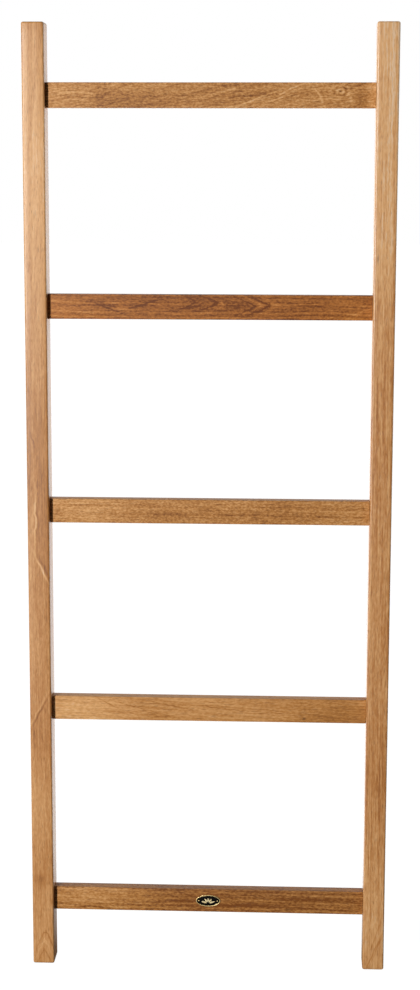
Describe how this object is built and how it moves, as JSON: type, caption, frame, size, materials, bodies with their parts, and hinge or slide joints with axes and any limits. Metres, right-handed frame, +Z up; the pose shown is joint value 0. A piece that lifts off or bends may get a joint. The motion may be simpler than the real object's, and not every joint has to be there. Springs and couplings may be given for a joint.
{
  "type": "towel and blanket ladder",
  "caption": "Free-standing teak ladder that leans against a wall and carries towels or blankets on flat rungs.",
  "frame": {"origin": "floor level, midway between the two stiles and midway through their depth", "axes": "+Z up along the stiles, +X to the right as seen from the front, front faces -Y, rear faces +Y"},
  "size_m": [0.58, 0.045, 1.524],
  "materials": {
    "teak_stile": "oiled satin teak, paler and straighter grained",
    "teak_rung": "oiled satin teak with figured grain",
    "teak_plug": "oiled teak dowel, sanded flush",
    "screw_steel": "stainless steel",
    "badge_brass": "polished brass",
    "badge_enamel": "black enamel"
  },
  "bodies": {
    "root": {"stile_left": "teak_stile", "stile_right": "teak_stile", "rung_1": "teak_rung", "rung_2": "teak_rung", "rung_3": "teak_rung", "rung_4": "teak_rung", "rung_5": "teak_rung", "screw_left_1": "screw_steel", "plug_left_1": "teak_plug", "screw_left_2": "screw_steel", "plug_left_2": "teak_plug", "screw_left_3": "screw_steel", "plug_left_3": "teak_plug", "screw_left_4": "screw_steel", "plug_left_4": "teak_plug", "screw_left_5": "screw_steel", "plug_left_5": "teak_plug", "screw_right_1": "screw_steel", "plug_right_1": "teak_plug", "screw_right_2": "screw_steel", "plug_right_2": "teak_plug", "screw_right_3": "screw_steel", "plug_right_3": "teak_plug", "screw_right_4": "screw_steel", "plug_right_4": "teak_plug", "screw_right_5": "screw_steel", "plug_right_5": "teak_plug", "badge_plate": "badge_brass", "badge_enamel": "badge_enamel", "badge_pin_left": "badge_brass", "badge_pin_right": "badge_brass"}
  },
  "joints": []
}
